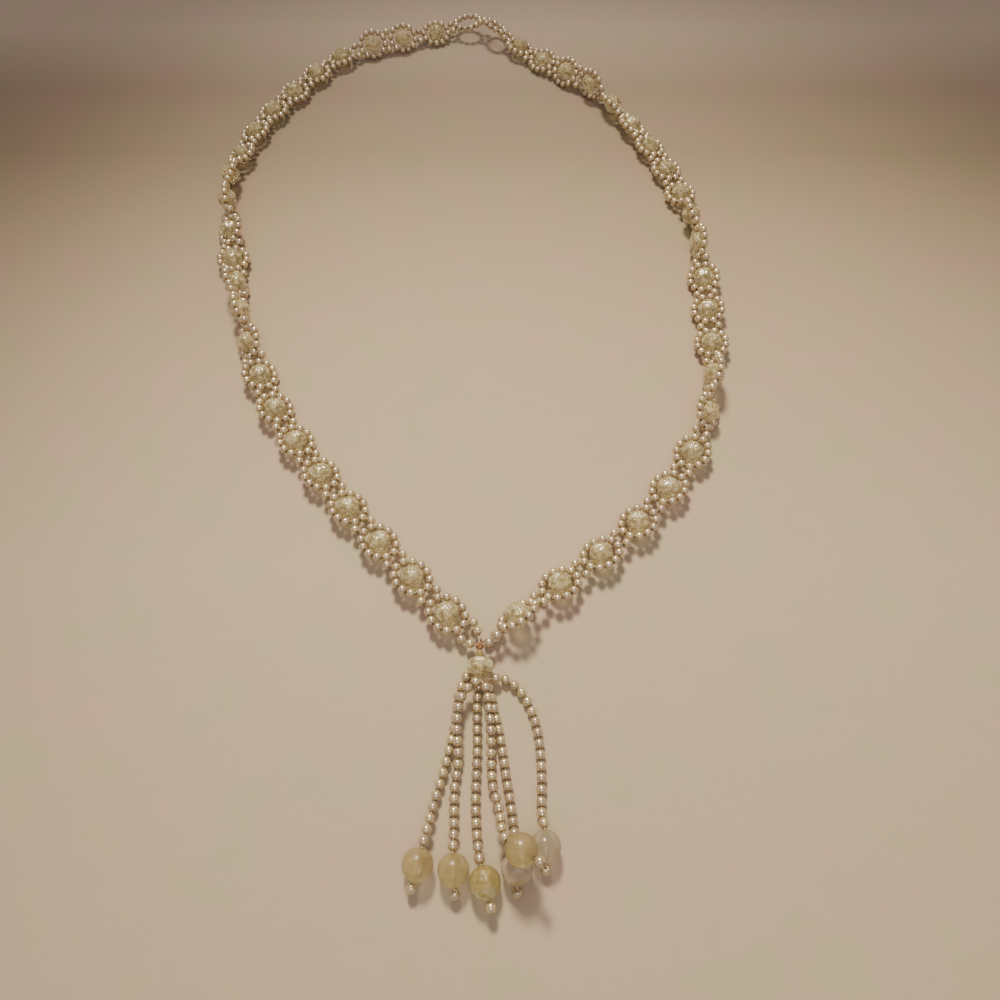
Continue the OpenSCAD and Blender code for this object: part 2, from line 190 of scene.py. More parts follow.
@dataclass(frozen=True)
class Seat:
    """Where one bead sits: its centre, the way its thread runs, and its side."""

    place: Vector
    axis: Vector
    side: Vector


@dataclass(frozen=True)
class Daisy:
    """Sizes of one ring of twelve pearls round a crystal."""

    pearl: float = 3.0
    crystal: float = 7.2
    side_turn: float = radians(24)
    end_turn: float = radians(54)
    slope_lift: float = 0.12
    least_push: float = 0.5
    pearls: int = 12

    @property
    def end_x(self) -> float:
        """How far the end pair of pearls is from the centre."""
        return self.pearl * (0.5 + cos(self.side_turn) + cos(self.end_turn))

    @property
    def end_y(self) -> float:
        """How far each pearl of the end pair is from the middle line."""
        return self.pearl / 2

    @property
    def side_y(self) -> float:
        """How far the side pair of pearls is from the centre."""
        return self.pearl * (0.5 + sin(self.side_turn) + sin(self.end_turn))

    def pearl_at(self, index: int) -> tuple[float, float]:
        """Returns a pearl's place in the ring's own plane.

        Args:
            index: The pearl's number, counted round from the end pair.
        """
        quarter_rows = (
            (self.end_x, self.end_y),
            (self.end_x - self.pearl * cos(self.end_turn),
             self.end_y + self.pearl * sin(self.end_turn)),
            (self.pearl / 2, self.side_y),
        )
        quarter, step = divmod(index % self.pearls, 3)
        x, y = quarter_rows[step if quarter % 2 == 0 else 2 - step]
        return (-x if quarter in (1, 2) else x), (-y if quarter > 1 else y)

    def rest_height(self, lean: float) -> float:
        """Returns how high the ring's centre lies for its lean.

        Args:
            lean: The lean in radians, 0 where the ring lies flat.
        """
        step = pi / 4
        corner = self.crystal / 2 / cos(step / 2)
        reach = corner * cos(abs(lean) % step - step / 2)
        edge = self.side_y * abs(sin(lean)) + self.pearl / 2 + self.slope_lift
        return max(reach, edge)


@dataclass
class BandLayout:
    """The band's route, the places of its rings along it and their lean."""

    daisy: Daisy = field(default_factory=Daisy)
    rings: int = 48
    left_rings: int = 25

    def __post_init__(self) -> None:
        """Places every ring's centre."""
        line = Curve([Vector((x, y, 0)) for x, y in ROUTE])
        stretch = line.length / STATIONS[-1][1]
        self.centres: list[Vector] = []
        for k in range(1, self.rings + 1):
            spot = line.at(looked_up(k, STATIONS) * stretch)
            spot.z = self.daisy.rest_height(self.lean(k)) + self.bend(k, 2)
            self.centres.append(spot)

    def lean(self, k: int) -> float:
        """Returns ring k's lean in radians."""
        return radians(looked_up(k, LEANS))

    def bend(self, k: int, column: int) -> float:
        """Returns a column of the bend table at ring k."""
        return looked_up(k, [(row[0], row[column]) for row in BENDS])

    def centre(self, k: int) -> Vector:
        """Returns ring k's centre, or the knot's past either end."""
        return KNOT_AT if k < 1 or k > self.rings else self.centres[k - 1]

    def along(self, k: int) -> Vector:
        """Returns the direction of the band at ring k."""
        line = (self.centre(k + 1) - self.centre(k - 1)).normalized()
        return Matrix.Rotation(radians(self.bend(k, 1)), 3, "Z") @ line

    def side(self, k: int) -> Vector:
        """Returns the direction across ring k, towards its outer edge."""
        level = UP.cross(self.along(k)).normalized()
        lean = self.lean(k)
        return level * cos(lean) + self.along(k).cross(level) * sin(lean)

    def face(self, k: int) -> Vector:
        """Returns the direction out of ring k's face."""
        return self.along(k).cross(self.side(k))

    def in_ring(self, k: int, x: float, y: float, z: float = 0.0) -> Vector:
        """Returns a place given in ring k's own frame."""
        return self.centre(k) + self.along(k) * x + self.side(k) * y + self.face(k) * z

    def ring(self, k: int) -> list[Vector]:
        """Returns the places of ring k's pearls."""
        return [self.in_ring(k, *self.daisy.pearl_at(i)) for i in range(self.daisy.pearls)]

    def link(self, k: int, s: int) -> tuple[Vector, Vector, Vector]:
        """Returns the end pearl of ring k, the link pearl and ring k + 1's end pearl.

        Args:
            k: The ring's number.
            s: 1 for the outer edge, -1 for the inner.
        """
        daisy = self.daisy
        a = self.in_ring(k, daisy.end_x, s * daisy.end_y)
        b = self.in_ring(k + 1, -daisy.end_x, s * daisy.end_y)
        gap = b - a
        out = s * (self.side(k) + self.side(k + 1))
        out = (out - gap * (out.dot(gap) / gap.length_squared)).normalized()
        push = sqrt(max(daisy.pearl ** 2 - gap.length_squared / 4, daisy.least_push))
        return a, (a + b) / 2 + out * push, b

    def has_crystal(self, k: int) -> bool:
        """Returns whether ring k holds a crystal: the two at the back join don't."""
        return k not in (self.left_rings, self.left_rings + 1)


@dataclass
class StrandLayout:
    """One strand of the tassel: the way of its thread, and its beads along it."""

    letter: str
    pearls: int
    bore_rise: float
    rows: Sequence[Row]
    pearl: float = 3.0
    drop: float = 8.6
    bead_gap: float = 0.14
    seat_gap: float = 0.2
    thread: float = 0.5

    def __post_init__(self) -> None:
        """Places the pearls, the drop bead and the end pearl."""
        points = [Vector(row) for row in self.rows]
        self.drop_at = points[-2]
        reach = points[-1] - points[-2]
        heading = Vector((reach.x, reach.y, 0)).normalized()
        slope = radians(self.bore_rise)
        self.axis = heading * cos(slope) + Vector((0, 0, sin(slope)))
        seat = self.drop / 2 + self.seat_gap
        self.entry = self.drop_at - self.axis * seat
        self.exit = self.drop_at + self.axis * (seat + self.thread / 2)
        away = sqrt((seat + self.pearl / 2) ** 2 - reach.z ** 2)
        self.end_at = self.drop_at + heading * away + Vector((0, 0, reach.z))
        hung = [FAN_AT, *points[:-2], self.entry, self.drop_at]
        line = Curve(hung, len(hung) - 2, tail=self.drop_at)
        first = line.length - seat - self.pearl / 2
        step = self.pearl + self.bead_gap
        self.places = [line.at(first - i * step) for i in range(self.pearls - 1, -1, -1)]


class Attribute(Enum):
    """Names of the point attributes that the trees and finishes read."""

    AXIS = "axis"
    SIDE = "side"
    TONE = "tone"
    # Share of painted glow, on the side of a drop away from the lamp.
    GLOW = "glow"


class Shader:
    """A material's node tree, with short ways to add and join its nodes."""

    def __init__(self, name: str) -> None:
        """Makes an empty material with a Principled shader.

        Args:
            name: The material's name.
        """
        self.material = bpy.data.materials.new(name)
        self.material.use_nodes = True
        self.tree = self.material.node_tree
        self.tree.nodes.clear()
        self.output = self.tree.nodes.new("ShaderNodeOutputMaterial")
        self.surface = self.add("ShaderNodeBsdfPrincipled")
        self.join(self.surface.outputs["BSDF"], self.output.inputs["Surface"])
        self.coordinates = self.add("ShaderNodeTexCoord").outputs["Object"]

    def add(self, kind: str, **inputs: object) -> Node:
        """Adds a node and sets its inputs.

        Args:
            kind: The node's type name.
            inputs: Values by socket name, with underscores for spaces.

        Returns:
            The new node.
        """
        node = self.tree.nodes.new(kind)
        for name, value in inputs.items():
            node.inputs[name.replace("_", " ")].default_value = value
        return node

    def join(self, source: Socket, target: Socket) -> None:
        """Joins two sockets."""
        self.tree.links.new(source, target)

    def set(self, **inputs: object) -> None:
        """Sets the Principled shader's own sockets, with underscores for spaces."""
        for name, value in inputs.items():
            self.surface.inputs[name.replace("_", " ")].default_value = value

    def noise(self, scale: float, detail: float, roughness: float = 0.5) -> Socket:
        """Adds a noise over the object's own coordinates.

        Args:
            scale: Cells per metre.
            detail: Octaves.
            roughness: Share of the finer octaves.

        Returns:
            The noise's factor.
        """
        node = self.add("ShaderNodeTexNoise", Scale=scale, Detail=detail, Roughness=roughness)
        self.join(self.coordinates, node.inputs["Vector"])
        return node.outputs["Fac"]

    def attribute(self, attribute: Attribute) -> Socket:
        """Returns the value of one of the pieces' attributes."""
        node = self.add("ShaderNodeAttribute")
        node.attribute_name = attribute.value
        return node.outputs["Fac"]

    def ramp(self, factor: Socket, stops: Sequence[tuple[float, Color]]) -> Socket:
        """Runs a factor through a row of colours.

        Args:
            factor: The place along the row.
            stops: Each colour's place, from 0 to 1, and the colour.

        Returns:
            The colour.
        """
        node = self.add("ShaderNodeValToRGB")
        elements = node.color_ramp.elements
        for _ in stops[2:]:
            elements.new(1.0)
        for element, (place, color) in zip(elements, stops):
            element.position = place
            element.color = (*color, 1.0)
        self.join(factor, node.inputs["Fac"])
        return node.outputs["Color"]

    def mixed(self, first: Socket, second: Socket, share: float | Socket, way: str) -> Socket:
        """Mixes two colours.

        Args:
            first: The first colour.
            second: The second colour.
            share: The second colour's share, a number or a socket.
            way: How they mix, as the node names it.

        Returns:
            The mixed colour.
        """
        node = self.add("ShaderNodeMix")
        node.data_type = "RGBA"
        node.blend_type = way
        if isinstance(share, float):
            node.inputs["Factor"].default_value = share
        else:
            self.join(share, node.inputs["Factor"])
        spots = [s for s in node.inputs if s.type == "RGBA"]
        self.join(first, spots[0])
        self.join(second, spots[1])
        return next(s for s in node.outputs if s.type == "RGBA")

    def tint(self, color: Socket) -> None:
        """Gives the surface its base colour."""
        self.join(color, self.surface.inputs["Base Color"])

    def bump(self, height: Socket, strength: float, depth: float) -> None:
        """Puts a bump on the surface.

        Args:
            height: The height's factor.
            strength: The bump's strength.
            depth: Its depth in metres.
        """
        node = self.add("ShaderNodeBump", Strength=strength, Distance=depth)
        self.join(height, node.inputs["Height"])
        self.join(node.outputs["Normal"], self.surface.inputs["Normal"])


@dataclass(frozen=True)
class PearlFinish:
    """Champagne pearl lustre over glass, each pearl a little lighter or pinker."""

    name: str = "pearl_lustre"
    cream: Color = (0.64, 0.52, 0.27)
    rose: Color = (0.52, 0.40, 0.25)
    roughness: float = 0.22
    metallic: float = 0.65

    def material(self) -> Material:
        """Returns the material."""
        shader = Shader(self.name)
        shader.tint(shader.ramp(shader.attribute(Attribute.TONE),
                                ((0.0, self.rose), (1.0, self.cream))))
        shader.bump(shader.noise(scale=900.0, detail=2.0), strength=0.15, depth=0.0001)
        shader.set(Roughness=self.roughness, Metallic=self.metallic, Coat_Weight=1.0,
                   Coat_Roughness=0.1, Coat_IOR=2.0)
        return shader.material


@dataclass(frozen=True)
class GlassFinish:
    """Milky tinted glass. Where a piece carries the painted glow attribute, a painted glow and
    painted glints light the side away from the lamp, where real glass throws the light.
    """

    name: str
    clear: Color
    # Cloudier glass on the drops; on the cut crystals and head bead it is painted glints.
    cloud_and_glint: Color
    # Painted glow and painted glint colours, laid on the side away from the lamp.
    glow: Color = (0.5, 0.5, 0.5)
    painted_glint: Color = (0.5, 0.5, 0.5)
    roughness: float = 0.03
    transmission: float = 0.5
    alpha: float = 1.0
    cloud_scale: float = 220.0
    edge: float = 0.12
    ripple: float = 0.05

    def material(self) -> Material:
        """Returns the material."""
        shader = Shader(self.name)
        cloud_and_glint = shader.noise(self.cloud_scale, detail=4.0, roughness=0.6)
        low, high = 0.5 - self.edge, 0.5 + self.edge
        # The glass's own tint, clouded on the drops; on the cut crystals its bright end is painted
        # glints.
        body = shader.ramp(cloud_and_glint, ((low, self.clear), (high, self.cloud_and_glint)))
        # Painted light: the painted glow with painted glints, mixed in by the painted glow
        # attribute.
        light = shader.ramp(cloud_and_glint, ((low, self.glow), (high, self.painted_glint)))
        shader.tint(shader.mixed(body, light, shader.attribute(Attribute.GLOW), "MIX"))
        shader.bump(shader.noise(self.cloud_scale * 4, detail=2.0), self.ripple, depth=0.0002)
        shader.set(Roughness=self.roughness, Transmission_Weight=self.transmission,
                   IOR=1.52, Alpha=self.alpha)
        return shader.material


@dataclass(frozen=True)
class ThreadFinish:
    """Thin waxed beading thread."""

    name: str
    light: Color
    dark: Color

    def material(self) -> Material:
        """Returns the material."""
        shader = Shader(self.name)
        fibre = shader.noise(scale=2600.0, detail=3.0, roughness=0.7)
        shader.tint(shader.ramp(fibre, ((0.0, self.dark), (1.0, self.light))))
        shader.bump(fibre, strength=0.6, depth=0.0002)
        shader.set(Roughness=0.55, Sheen_Weight=0.3)
        return shader.material


@dataclass(frozen=True)
class TableFinish:
    """Pale matt table top, faintly mottled in two tints, with painted shade that darkens it
    towards the back where the light falls off.
    """

    name: str = "pale_table"
    # Columns: distance towards the back in metres, colour. The colours hold painted shade, darker
    # towards the back where the light falls off.
    tints_and_painted_falloff: tuple[tuple[float, Color], ...] = (
        (-0.10, (0.45, 0.36, 0.265)),
        (0.0, (0.385, 0.30, 0.21)),
        (0.06, (0.325, 0.25, 0.17)),
        (0.105, (0.265, 0.205, 0.138)),
        (0.15, (0.28, 0.215, 0.155)),
        (0.20, (0.45, 0.36, 0.28)),
    )
    green: Color = (0.91, 0.98, 0.86)
    pink: Color = (1.0, 0.92, 0.93)

    def material(self) -> Material:
        """Returns the material."""
        shader = Shader(self.name)
        near, far = self.tints_and_painted_falloff[0][0], self.tints_and_painted_falloff[-1][0]
        place = shader.add("ShaderNodeSeparateXYZ")
        shader.join(shader.coordinates, place.inputs[0])
        depth = shader.add("ShaderNodeMapRange", From_Min=near, From_Max=far)
        shader.join(place.outputs["Y"], depth.inputs["Value"])
        # Painted shade: the table's tint darkens towards the back for the light falling off.
        ground_with_painted_falloff = shader.ramp(depth.outputs["Result"], [
            ((distance - near) / (far - near), color) for distance, color in self.tints_and_painted_falloff])
        stain = shader.ramp(shader.noise(scale=45.0, detail=4.0, roughness=0.55),
                            ((0.35, self.green), (0.65, self.pink)))
        shader.tint(shader.mixed(ground_with_painted_falloff, stain, 1.0, "MULTIPLY"))
        shader.bump(shader.noise(scale=400.0, detail=3.0), strength=0.1, depth=0.0002)
        shader.set(Roughness=0.65, Specular_IOR_Level=0.2)
        return shader.material


class Glass(Enum):
    """The glass of the drop beads, the crystals and the head bead."""

    OCHRE = GlassFinish("ochre_glass", (0.46, 0.35, 0.14), (0.36, 0.26, 0.10),
                        (0.56, 0.45, 0.15), (0.72, 0.60, 0.26),
                        roughness=0.3, transmission=0.25, alpha=0.55, cloud_scale=350.0)
    TOFFEE = GlassFinish("toffee_glass", (0.38, 0.28, 0.12), (0.30, 0.21, 0.10),
                         (0.66, 0.54, 0.16), (0.80, 0.68, 0.26),
                         roughness=0.25, transmission=0.25, alpha=0.75)
    # Its bright painted glint colour stands for its real cracks catching the light.
    CRACKLE = GlassFinish("crackle_glass", (0.46, 0.35, 0.11), (0.32, 0.24, 0.07),
                          (0.50, 0.40, 0.10), (1.0, 1.0, 0.66),
                          roughness=0.08, transmission=0.3, alpha=0.75, cloud_scale=700.0,
                          edge=0.05, ripple=0.8)
    SMOKE = GlassFinish("smoke_glass", (0.64, 0.50, 0.40), (0.50, 0.39, 0.31),
                        (0.62, 0.47, 0.20), (1.0, 0.92, 0.52),
                        roughness=0.08, transmission=0.4, alpha=0.7, edge=0.05)
    GREY = GlassFinish("grey_glass", (0.42, 0.35, 0.22), (0.34, 0.29, 0.18),
                       (0.58, 0.44, 0.28), (0.78, 0.64, 0.42),
                       roughness=0.2, transmission=0.25, alpha=0.6, cloud_scale=400.0)
    # The bright cloud colour is painted glints standing for the facets' sparkle.
    CRYSTAL = GlassFinish("cut_crystal", (0.44, 0.35, 0.16), (1.0, 0.90, 0.52),
                          roughness=0.06, transmission=0.6, alpha=0.76, cloud_scale=650.0,
                          edge=0.08, ripple=0.5)
    # The bright cloud colour is painted glints standing for the facets' sparkle.
    HEAD = GlassFinish("head_crystal", (0.56, 0.45, 0.20), (1.0, 0.95, 0.58),
                       roughness=0.05, transmission=0.6, alpha=0.88, cloud_scale=600.0,
                       edge=0.08, ripple=0.3)


def shown(name: str, mesh: bpy.types.Mesh) -> Item:
    """Puts a mesh in the scene.

    Args:
        name: The object's name.
        mesh: Its mesh, in metres.

    Returns:
        The new object, at the origin.
    """
    item = bpy.data.objects.new(name, mesh)
    bpy.context.scene.collection.objects.link(item)
    return item


def mesh_of(name: str, points: Iterable[Vector], edges: Sequence[Sequence[int]] = (),
            faces: Sequence[Sequence[int]] = ()) -> bpy.types.Mesh:
    """Makes a mesh from points in millimetres.

    Args:
        name: The mesh's name.
        points: The vertices.
        edges: Pairs of vertex numbers.
        faces: Loops of vertex numbers, seen from outside.

    Returns:
        The mesh, in metres.
    """
    mesh = bpy.data.meshes.new(name)
    mesh.from_pydata([tuple(p * MM) for p in points], edges, faces)
    mesh.validate()
    mesh.update()
    return mesh


@dataclass(frozen=True)
class TurnedBead:
    """A bead made of rings of vertices round its bore, which runs along Z."""

    name: str
    # Columns: radius, height, turn as a share of one side. Goes once round the section.
    section: tuple[Row, ...]
    sides: int

    def mesh(self) -> bpy.types.Mesh:
        """Returns the bead's closed mesh, in metres."""
        points = [
            Vector((radius * cos(angle), radius * sin(angle), height))
            for radius, height, turn in self.section
            for angle in (tau * (i + turn) / self.sides for i in range(self.sides))
        ]
        faces: list[tuple[int, ...]] = []
        rows = len(self.section)
        for row in range(rows):
            after = (row + 1) % rows
            lag = round(2 * (self.section[after][2] - self.section[row][2]))
            for i in range(self.sides):
                faces.extend(self._between(row, after, i, lag))
        return mesh_of(self.name, points, (), faces)

    def _between(self, row: int, after: int, i: int, lag: int) -> list[tuple[int, ...]]:
        """Returns the faces between two rings at side i.

        Args:
            row: The first ring's number.
            after: The next ring's number.
            i: The side's number.
            lag: 1 or -1 if the next ring is turned half a side on or back, else 0.
        """
        n = self.sides
        here, there = row * n, after * n
        j = (i + 1) % n
        if lag == 0:
            return [(here + i, here + j, there + j, there + i)]
        if lag > 0:
            return [(here + i, here + j, there + i), (there + i, here + j, there + j)]
        return [(here + i, there + j, there + i), (here + i, here + j, there + j)]


def pearl_bead(diameter: float, bore: float, sides: int, rows: int) -> TurnedBead:
    """Returns a round bead with a bore.

    Args:
        diameter: The bead's diameter.
        bore: The bore's diameter.
        sides: Faces round the bore.
        rows: Faces from one mouth of the bore to the other.
    """
    radius = diameter / 2
    mouth = asin(bore / diameter)
    section = []
    for i in range(rows + 1):
        angle = mouth + (pi - 2 * mouth) * i / rows
        section.append((radius * sin(angle), -radius * cos(angle), 0.0))
    return TurnedBead("pearl_bead", tuple(section), sides)


def cut_bead(name: str, length: float, width: float, bore: float) -> TurnedBead:
    """Returns a faceted bead: two tables, two rows of triangles at each end and a belt.

    Args:
        name: The mesh's name.
        length: Length along the bore.
        width: Width across the belt's flats.
        bore: The bore's diameter.
    """
    sides = 8
    corner = width / 2 / cos(pi / sides)
    half = length / 2
    # Columns: radius as a share of the corner's, height as a share of the half length, turn.
    upper = ((0.995, 0.24, 0.5), (0.86, 0.62, 0.0), (0.42, 0.98, 0.5))
    mouth = 0.97 * half
    section = [(bore / 2, -mouth, 0.0)]
    section += [(r * corner, -z * half, turn) for r, z, turn in reversed(upper)]
    section += [(r * corner, z * half, turn) for r, z, turn in upper]
    section.append((bore / 2, mouth, 0.0))
    return TurnedBead(name, tuple(section), sides)


class Tree:
    """A Geometry Nodes tree with short ways to add nodes and to run it on an object."""

    def __init__(self, name: str, sockets: dict[str, str]) -> None:
        """Makes a tree that takes and gives a geometry.

        Args:
            name: The tree's name.
            sockets: The socket type of each further input, by name.
        """
        self.tree = bpy.data.node_groups.new(name, "GeometryNodeTree")
        self.tree.is_modifier = True
        face = self.tree.interface
        face.new_socket("Geometry", in_out="OUTPUT", socket_type="NodeSocketGeometry")
        face.new_socket("Geometry", in_out="INPUT", socket_type="NodeSocketGeometry")
        self.keys = {
            label: face.new_socket(label, in_out="INPUT", socket_type=kind).identifier
            for label, kind in sockets.items()
        }
        self.start = self.tree.nodes.new("NodeGroupInput")
        self.end = self.tree.nodes.new("NodeGroupOutput")

    @staticmethod
    def socket(sockets: Iterable[Socket], name: str) -> Socket:
        """Returns the socket of a name that its node's settings leave in use."""
        return next(s for s in sockets if s.name == name and s.enabled)

    def add(self, kind: str, **joined: Socket) -> Node:
        """Adds a node and joins its inputs.

        Args:
            kind: The node's type name.
            joined: Sockets to join by input name, with underscores for spaces.

        Returns:
            The new node.
        """
        node = self.tree.nodes.new(kind)
        for name, source in joined.items():
            self.tree.links.new(source, self.socket(node.inputs, name.replace("_", " ")))
        return node

    def finish(self, geometry: Socket) -> None:
        """Realizes the instances, sets the finish and ends the tree.

        Args:
            geometry: What the tree has made.
        """
        real = self.add("GeometryNodeRealizeInstances", Geometry=geometry)
        smooth = self.add("GeometryNodeSetShadeSmooth", Geometry=real.outputs[0],
                          Shade_Smooth=self.start.outputs["Smooth"])
        dressed = self.add("GeometryNodeSetMaterial", Geometry=smooth.outputs[0],
                           Material=self.start.outputs["Finish"])
        self.tree.links.new(dressed.outputs[0], self.end.inputs["Geometry"])

    def run(self, item: Item, values: dict[str, object]) -> None:
        """Runs the tree on an object and keeps the result as its plain mesh.

        Args:
            item: The object.
            values: The inputs' values by name.
        """
        modifier = item.modifiers.new(self.tree.name, "NODES")
        modifier.node_group = self.tree
        for label, value in values.items():
            modifier[self.keys[label]] = value
        graph = bpy.context.evaluated_depsgraph_get()
        graph.update()
        made = bpy.data.meshes.new_from_object(
            item.evaluated_get(graph), preserve_all_data_layers=True, depsgraph=graph)
        item.modifiers.clear()
        item.data = made
        for attribute in (Attribute.AXIS, Attribute.SIDE):
            layer = made.attributes.get(attribute.value)
            if layer is not None:
                made.attributes.remove(layer)


class BeadTree(Tree):
    """Sets a bead on every point, turned to its thread, each a little smaller or larger."""

    def __init__(self) -> None:
        """Builds the tree."""
        super().__init__("beads_on_thread", {
            "Bead": "NodeSocketObject",
            "Smallest": "NodeSocketFloat",
            "Seed": "NodeSocketInt",
            "Smooth": "NodeSocketBool",
            "Finish": "NodeSocketMaterial",
        })
        start = self.start.outputs
        bead = self.add("GeometryNodeObjectInfo", Object=start["Bead"])
        turn = self.add("FunctionNodeAxesToRotation",
                        Primary_Axis=self._vector(Attribute.AXIS),
                        Secondary_Axis=self._vector(Attribute.SIDE))
        turn.primary_axis, turn.secondary_axis = "Z", "X"
        size = self.add("FunctionNodeRandomValue")
        size.data_type = "FLOAT"
        self.socket(size.inputs, "Max").default_value = 1.0
        self.tree.links.new(start["Smallest"], self.socket(size.inputs, "Min"))
        self.tree.links.new(start["Seed"], self.socket(size.inputs, "Seed"))
        beads = self.add("GeometryNodeInstanceOnPoints", Points=start["Geometry"],
                         Instance=bead.outputs["Geometry"], Rotation=turn.outputs["Rotation"],
                         Scale=self.socket(size.outputs, "Value"))
        self.finish(beads.outputs["Instances"])

    def _vector(self, attribute: Attribute) -> Socket:
        """Returns the socket of a vector attribute of the points."""
        node = self.tree.nodes.new("GeometryNodeInputNamedAttribute")
        node.data_type = "FLOAT_VECTOR"
        node.inputs["Name"].default_value = attribute.value
        return self.socket(node.outputs, "Attribute")


class ThreadTree(Tree):
    """Turns a mesh of edges into round threads."""

    def __init__(self) -> None:
        """Builds the tree."""
        super().__init__("round_threads", {
            "Radius": "NodeSocketFloat",
            "Sides": "NodeSocketInt",
            "Smooth": "NodeSocketBool",
            "Finish": "NodeSocketMaterial",
        })
        start = self.start.outputs
        line = self.add("GeometryNodeMeshToCurve", Mesh=start["Geometry"])
        outline = self.add("GeometryNodeCurvePrimitiveCircle", Resolution=start["Sides"],
                           Radius=start["Radius"])
        tube = self.add("GeometryNodeCurveToMesh", Curve=line.outputs["Curve"],
                        Profile_Curve=outline.outputs["Curve"])
        tube.inputs["Fill Caps"].default_value = True
        self.finish(tube.outputs["Mesh"])


# Columns: name, light colour, dark colour.
THREADS = (
    ("beading_thread", (0.62, 0.52, 0.30), (0.40, 0.30, 0.14)),
    ("rust_thread", (0.36, 0.16, 0.05), (0.18, 0.07, 0.02)),
    ("olive_thread", (0.36, 0.26, 0.07), (0.18, 0.12, 0.03)),
)


@dataclass
class Workshop:
    """What every sub-assembly shares: the trees, the bead prototypes and the finishes."""

    seed: int = 7
    pearl_size: float = 3.0
    pearl_bore: float = 0.8
    pearl_sides: int = 12
    pearl_rows: int = 6
    crystal_size: float = 7.2
    crystal_bore: float = 1.1
    thread_sides: int = 6

    def __post_init__(self) -> None:
        """Builds the trees, prototypes and shared finishes."""
        self.beads = BeadTree()
        self.threads = ThreadTree()
        self.chance = random.Random(self.seed)
        self.pearl = shown("pearl_prototype", pearl_bead(
            self.pearl_size, self.pearl_bore, self.pearl_sides, self.pearl_rows).mesh())
        self.crystal = shown("crystal_prototype", cut_bead(
            "crystal", self.crystal_size, self.crystal_size, self.crystal_bore).mesh())
        self.pearl_finish = PearlFinish().material()
        self.crystal_finish = Glass.CRYSTAL.value.material()
        self.thread_finish, self.knot_finish, self.whip_finish = (
            ThreadFinish(*thread).material() for thread in THREADS)

    def strung(self, name: str, seats: Sequence[Seat], bead: Item, finish: Material,
               smooth: bool, smallest: float = 1.0) -> Item:
        """Makes one piece of many beads.

        Args:
            name: The piece's name.
            seats: Where the beads sit.
            bead: The bead's prototype.
            finish: The beads' material.
            smooth: Whether the beads are shaded smooth.
            smallest: The smallest bead's size as a share of the prototype's.

        Returns:
            The piece.
        """
        mesh = mesh_of(name, [seat.place for seat in seats])
        for attribute in (Attribute.AXIS, Attribute.SIDE):
            layer = mesh.attributes.new(attribute.value, "FLOAT_VECTOR", "POINT")
            for entry, seat in zip(layer.data, seats):
                entry.vector = getattr(seat, attribute.value)
        tones = mesh.attributes.new(Attribute.TONE.value, "FLOAT", "POINT")
        for entry in tones.data:
            entry.value = self.chance.random()
        piece = shown(name, mesh)
        self.beads.run(piece, {"Bead": bead, "Smallest": smallest, "Seed": self.seed,
                               "Smooth": smooth, "Finish": finish})
        return piece

    def threaded(self, name: str, lines: Sequence[tuple[Sequence[Vector], bool]],
                 finish: Material, radius: float) -> Item:
        """Makes one piece of many threads.

        Args:
            name: The piece's name.
            lines: Each thread's points, and whether it closes.
            finish: The threads' material.
            radius: The threads' radius.

        Returns:
            The piece.
        """
        points: list[Vector] = []
        edges: list[tuple[int, int]] = []
        for line, closed in lines:
            first = len(points)
            points.extend(line)
            edges.extend((first + i, first + i + 1) for i in range(len(line) - 1))
            if closed:
                edges.append((len(points) - 1, first))
        piece = shown(name, mesh_of(name, points, edges))
        self.threads.run(piece, {"Radius": radius * MM, "Sides": self.thread_sides,
                                 "Smooth": True, "Finish": finish})
        return piece

    def clear(self) -> None:
        """Takes the prototypes out of the scene."""
        for prototype in (self.pearl, self.crystal):
            bpy.data.objects.remove(prototype)


def settled(piece: Item, slot: str, *nodes: str) -> None:
    """Hands a finished piece to the frame and reports it.

    Args:
        piece: The piece.
        slot: Not used.
        nodes: The CAD nodes that it stands for.
    """
    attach(piece, ROOT)
    if nodes:
        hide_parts(*nodes)
    LOG.info("%s: %d faces", piece.name, len(piece.data.polygons))


def seats_on(line: Sequence[Vector], closed: bool, side: Vector) -> list[Seat]:
    """Returns a seat on each point of a line of touching beads.

    Args:
        line: The beads' centres.
        closed: Whether the line closes.
        side: A direction across the line.
    """
    count = len(line)
    seats = []
    for i, place in enumerate(line):
        before = line[i - 1] if closed or i > 0 else place
        after = line[(i + 1) % count] if closed or i + 1 < count else place
        seats.append(Seat(place, (after - before).normalized(), side))
    return seats


